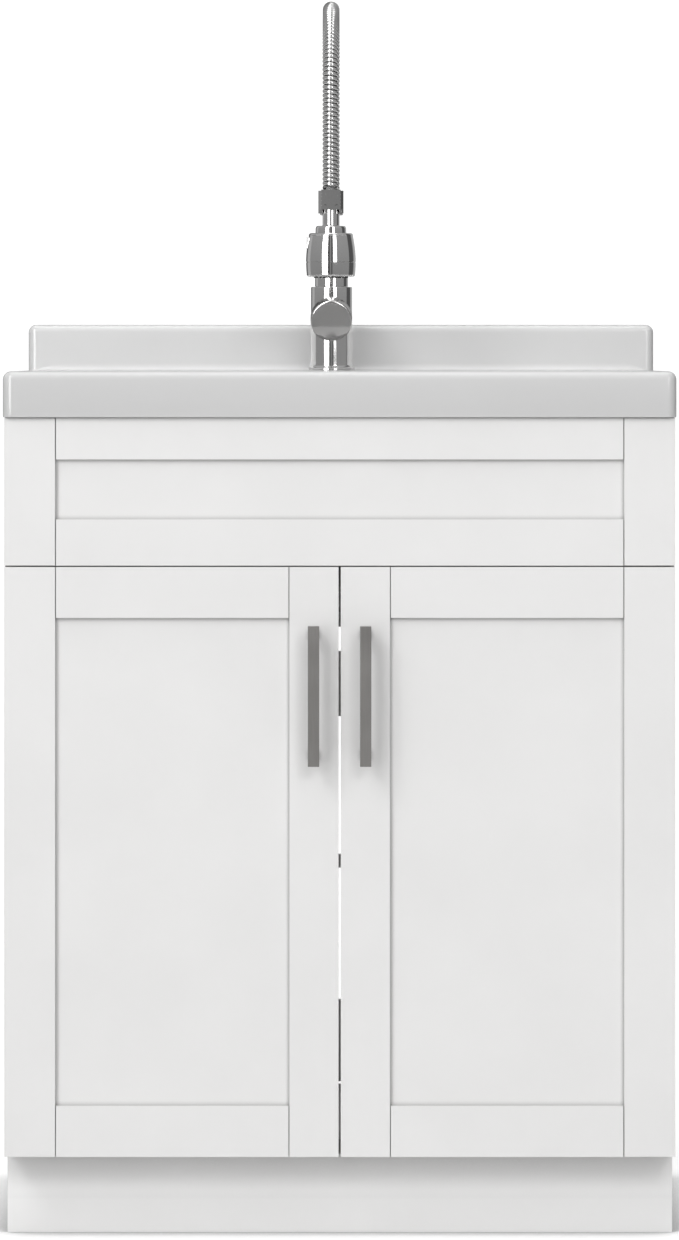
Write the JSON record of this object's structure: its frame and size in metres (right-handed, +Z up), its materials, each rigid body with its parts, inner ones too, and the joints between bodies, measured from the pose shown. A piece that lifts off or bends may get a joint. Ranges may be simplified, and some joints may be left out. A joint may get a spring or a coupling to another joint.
{
  "type": "laundry sink cabinet",
  "caption": "White shaker laundry cabinet with two hinged doors, a moulded sink with backsplash, and a spring-neck faucet with a pull-down spray head.",
  "frame": {"origin": "on the floor under the middle of the whole part's bounding box", "axes": "+Z up, -Y out of the doors towards the user, +X to the user's right"},
  "size_m": [0.714, 0.587, 1.335],
  "materials": {
    "white_paint": "satin white paint on medium-density fibreboard",
    "satin_nickel": "satin nickel plate",
    "zinc_steel": "zinc-plated steel",
    "nickel_steel": "nickel-plated pressed steel",
    "clear_bumper": "clear soft plastic",
    "white_sink": "glossy moulded plastic",
    "strainer_steel": "polished stainless steel",
    "black_rubber": "matte rubber",
    "grey_plastic": "moulded plastic",
    "chrome": "polished chrome",
    "brushed_knob": "polished chrome with a fine turned face",
    "spring_steel": "chromed spring wire",
    "white_plastic": "moulded plastic",
    "brass": "machined brass",
    "grey_hose": "braided nylon hose",
    "dark_rubber": "soft silicone nozzles"
  },
  "bodies": {
    "cabinet": {"left_side_panel": "white_paint", "right_side_panel": "white_paint", "bottom_panel": "white_paint", "toe_kick_board": "white_paint", "top_front_rail": "white_paint", "mid_front_rail": "white_paint", "top_back_rail": "white_paint", "upper_back_rail": "white_paint", "back_brace": "white_paint", "lower_back_rail": "white_paint", "false_front_stiles": "white_paint", "false_front_rails": "white_paint", "false_front_panel": "white_paint", "hinge_arms": "nickel_steel", "hinge_plates": "nickel_steel", "hinge_screws": "zinc_steel", "door_bumpers": "clear_bumper", "sink_basin": "white_sink", "strainer_body": "strainer_steel", "strainer_gasket": "black_rubber", "strainer_nut": "grey_plastic", "faucet_base_ring": "chrome", "faucet_column": "chrome", "mixing_cartridge": "white_plastic", "faucet_shank": "brass", "mounting_nut": "brass"},
    "left_door": {"left_hinge_stile": "white_paint", "left_lock_stile": "white_paint", "left_top_rail": "white_paint", "left_bottom_rail": "white_paint", "left_door_panel": "white_paint", "left_handle": "satin_nickel", "left_handle_screws": "zinc_steel", "left_hinge_cups": "nickel_steel", "left_hinge_pins": "zinc_steel"},
    "right_door": {"right_hinge_stile": "white_paint", "right_lock_stile": "white_paint", "right_top_rail": "white_paint", "right_bottom_rail": "white_paint", "right_door_panel": "white_paint", "right_handle": "satin_nickel", "right_handle_screws": "zinc_steel", "right_hinge_cups": "nickel_steel", "right_hinge_pins": "zinc_steel"},
    "basket": {"strainer_basket": "strainer_steel"},
    "spout": {"spout_collar": "chrome", "riser_tube": "chrome", "holder_arm": "chrome", "dock_clip": "chrome", "neck_spring": "spring_steel", "spray_hose": "grey_hose"},
    "spray_head": {"hose_end": "grey_hose", "spray_neck": "chrome", "spray_barrel": "chrome", "spray_face": "dark_rubber"},
    "spray_button": {"spray_button": "chrome"},
    "knob_carrier": {"knob_spindle": "brass", "knob_pin": "zinc_steel"},
    "knob": {"knob_stem": "chrome", "mixer_knob": "brushed_knob"}
  },
  "joints": [
    {"name": "left_door_swing", "type": "hinge", "parent": "cabinet", "child": "left_door", "pos_m": [-0.3496, -0.251, 0.4011], "axis": [0, 0, -1], "range_deg": [0, 95]},
    {"name": "right_door_swing", "type": "hinge", "parent": "cabinet", "child": "right_door", "pos_m": [0.3496, -0.251, 0.4011], "axis": [0, 0, 1], "range_deg": [0, 95]},
    {"name": "basket_lift", "type": "slide", "parent": "cabinet", "child": "basket", "axis": [0, 0, 1], "range_m": [0, 0.08]},
    {"name": "spout_swivel", "type": "hinge", "parent": "cabinet", "child": "spout", "pos_m": [-0.0105, 0.2305, 1.02], "axis": [0, 0, 1], "range_deg": [-90, 90]},
    {"name": "spray_pull", "type": "slide", "parent": "spout", "child": "spray_head", "axis": [0, 0, -1], "range_m": [0, 0.09]},
    {"name": "spray_button_press", "type": "slide", "parent": "spray_head", "child": "spray_button", "axis": [1, 0, 0], "range_m": [0, 0.002], "stiffness_N_per_m": 500, "springref_m": -0.001},
    {"name": "knob_turn", "type": "hinge", "parent": "cabinet", "child": "knob_carrier", "pos_m": [-0.0105, 0.1925, 0.984], "axis": [0, 1, 0], "range_deg": [-40, 40]},
    {"name": "knob_lift", "type": "hinge", "parent": "knob_carrier", "child": "knob", "pos_m": [-0.0105, 0.1925, 0.984], "axis": [-1, 0, 0], "range_deg": [0, 20]}
  ]
}
